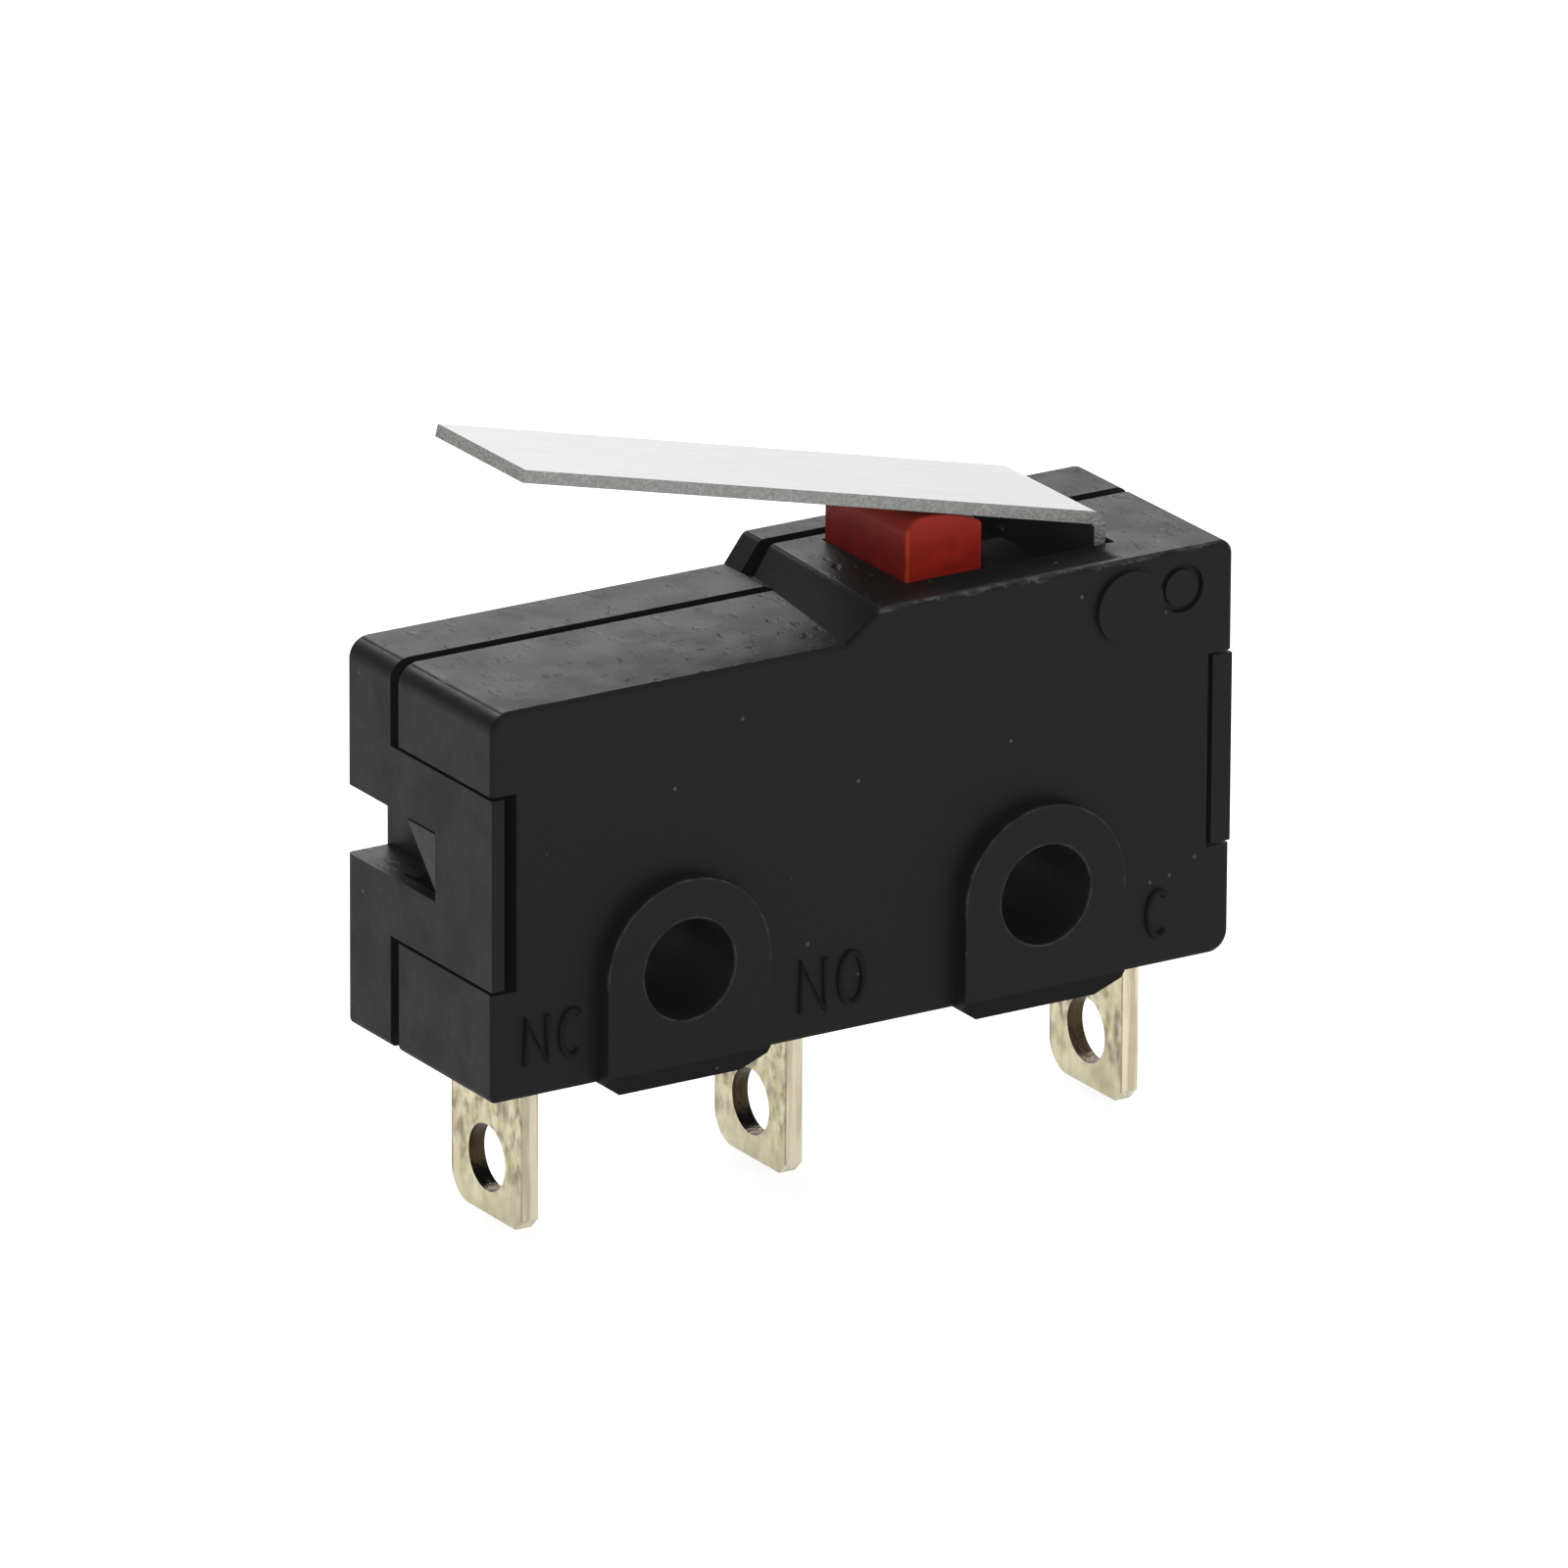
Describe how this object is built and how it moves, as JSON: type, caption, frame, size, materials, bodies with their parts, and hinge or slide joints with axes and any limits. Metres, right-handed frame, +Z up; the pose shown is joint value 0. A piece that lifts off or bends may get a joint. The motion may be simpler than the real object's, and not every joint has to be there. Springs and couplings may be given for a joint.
{
  "type": "micro switch",
  "caption": "Small black snap-action micro switch: a hinged steel strip lever presses a red plunger that snaps a contact arm between solder terminals; bolts through its case.",
  "frame": {"origin": "midway between the two mounting holes, halfway through the case's thickness", "axes": "+X along the case from the free end of the lever towards its hinge, +Y along the mounting holes from the marked front face to the rear, +Z up from the terminals to the lever"},
  "size_m": [0.0197, 0.0068, 0.0183],
  "materials": {
    "case_plastic": "black moulded plastic with a soft satin sheen",
    "red_plastic": "red moulded plastic, smooth",
    "lever_steel": "bright stainless strip with fine rolling marks",
    "plated_brass": "pale gold plating over brass, mottled",
    "contact_silver": "silver alloy rivet",
    "spring_brass": "thin copper alloy spring strip",
    "inner_steel": "stamped steel strip",
    "spring_steel": "fine spring wire"
  },
  "bodies": {
    "case": {"front_housing": "case_plastic", "rear_cover": "case_plastic", "common_terminal": "plated_brass", "normally_open_terminal": "plated_brass", "normally_closed_terminal": "plated_brass", "upper_contact": "contact_silver", "lower_contact": "contact_silver"},
    "lever": {"lever": "lever_steel"},
    "plunger": {"plunger": "red_plastic"},
    "rocker": {"rocker": "inner_steel"},
    "contact_arm": {"contact_arm": "spring_brass", "moving_contact": "contact_silver"},
    "spring": {"snap_spring": "spring_steel"}
  },
  "joints": [
    {"name": "lever_hinge", "type": "hinge", "parent": "case", "child": "lever", "pos_m": [0.00718, 0, 0.00635], "axis": [0, -1, 0], "range_deg": [0, 10], "stiffness_Nm_per_rad": 0.02, "springref_deg": -5.73},
    {"name": "plunger_slide", "type": "slide", "parent": "case", "child": "plunger", "axis": [0, 0, -1], "range_m": [0, 0.0008]},
    {"name": "rocker_hinge", "type": "hinge", "parent": "case", "child": "rocker", "pos_m": [0.00839, 0, 0.00525], "axis": [0, -1, 0], "range_deg": [0, 8.3]},
    {"name": "contact_arm_hinge", "type": "hinge", "parent": "case", "child": "contact_arm", "pos_m": [0.00334, 0, 0.00378], "axis": [0, -1, 0], "range_deg": [0, 2.96]},
    {"name": "spring_hook_hinge", "type": "hinge", "parent": "contact_arm", "child": "spring", "pos_m": [-0.00432, 0, 0.00404], "axis": [0, -1, 0], "range_deg": [-7.4, 0]}
  ],
  "couplings": [
    {"joint": "plunger_slide", "follows": "lever_hinge", "m_per_rad": 0.0045158},
    {"joint": "rocker_hinge", "follows": "lever_hinge", "ratio": 0.82394},
    {"joint": "contact_arm_hinge", "follows": "lever_hinge", "ratio": 0.29379},
    {"joint": "spring_hook_hinge", "follows": "lever_hinge", "ratio": -0.73126}
  ]
}
